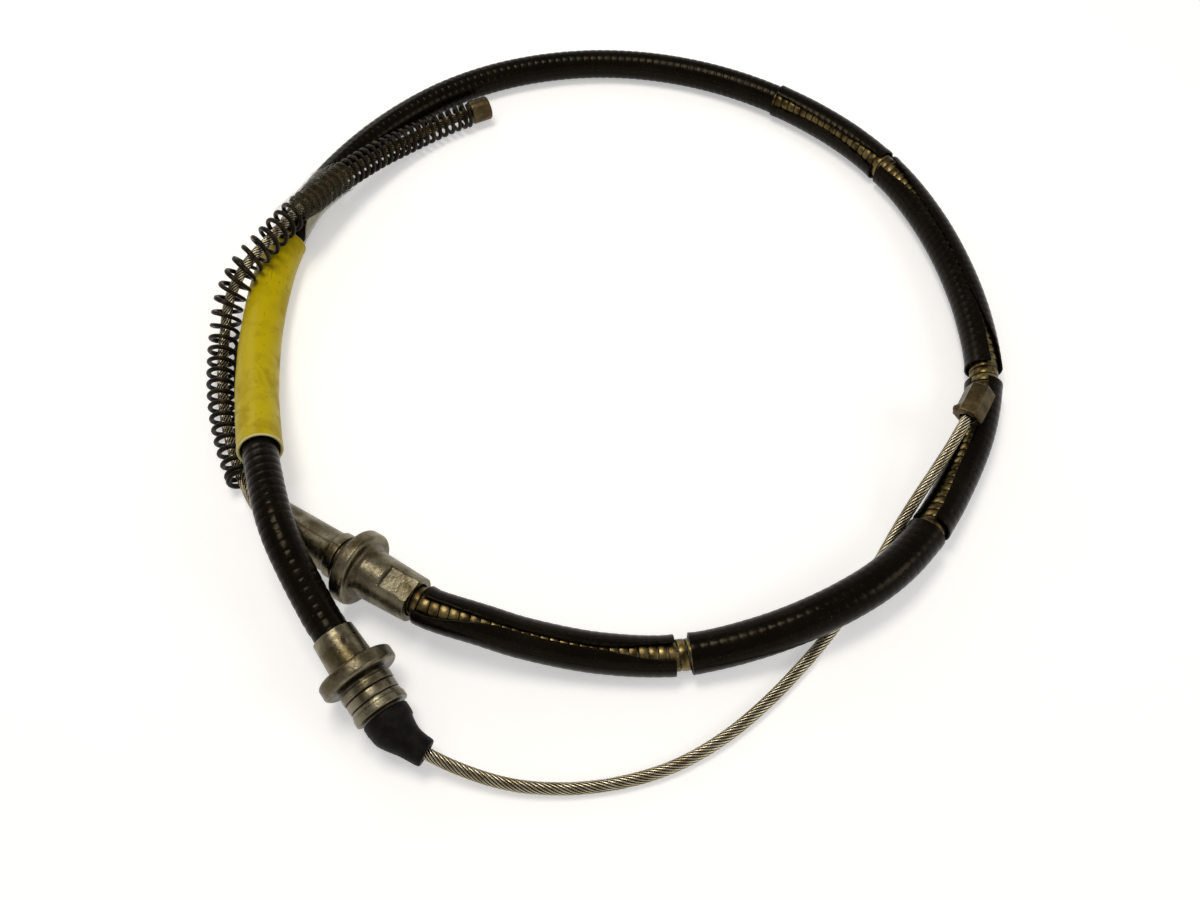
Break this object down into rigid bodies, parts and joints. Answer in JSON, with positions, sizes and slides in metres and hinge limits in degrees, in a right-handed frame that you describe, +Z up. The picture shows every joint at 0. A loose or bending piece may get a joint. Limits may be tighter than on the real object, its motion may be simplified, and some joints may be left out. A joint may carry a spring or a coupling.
{
  "type": "parking brake cable",
  "caption": "Wire rope in an armoured casing with cast end fittings, return spring, boot and split guard sleeves, lying in a loop.",
  "frame": {"origin": "middle of the footprint, on the surface that the cable lies on", "axes": "+Z up from that surface; the casing's loop lies flat round +Z, both end fittings are on the -X -Y side, and the free rope runs along the -Y side"},
  "size_m": [0.2412, 0.2638, 0.024],
  "materials": {
    "galvanised_rope": "bright galvanised strand",
    "nylon_liner": "plain",
    "flat_wire": "wound flat wire, brownish, oily",
    "black_vinyl": "glossy",
    "yellow_vinyl": "soft vinyl, slightly dirty",
    "clear_film": "clear adhesive tape, glossy",
    "cast_metal": "as cast, satin",
    "black_rubber": "matt",
    "spring_steel": "black oiled",
    "swaged_steel": "brownish, satin"
  },
  "bodies": {
    "root": {"inner_rope": "galvanised_rope", "liner": "nylon_liner", "conduit_armour": "flat_wire", "conduit_cover": "black_vinyl", "split_sleeve_1": "black_vinyl", "split_sleeve_2": "black_vinyl", "split_sleeve_3": "black_vinyl", "split_sleeve_4": "black_vinyl", "split_sleeve_5": "black_vinyl", "tag_sleeve": "yellow_vinyl", "tape_wrap": "clear_film", "lever_end_fitting": "cast_metal", "bracket_end_fitting": "cast_metal", "rubber_boot": "black_rubber", "return_spring": "spring_steel", "spring_button": "swaged_steel", "end_stop": "swaged_steel"}
  },
  "joints": []
}
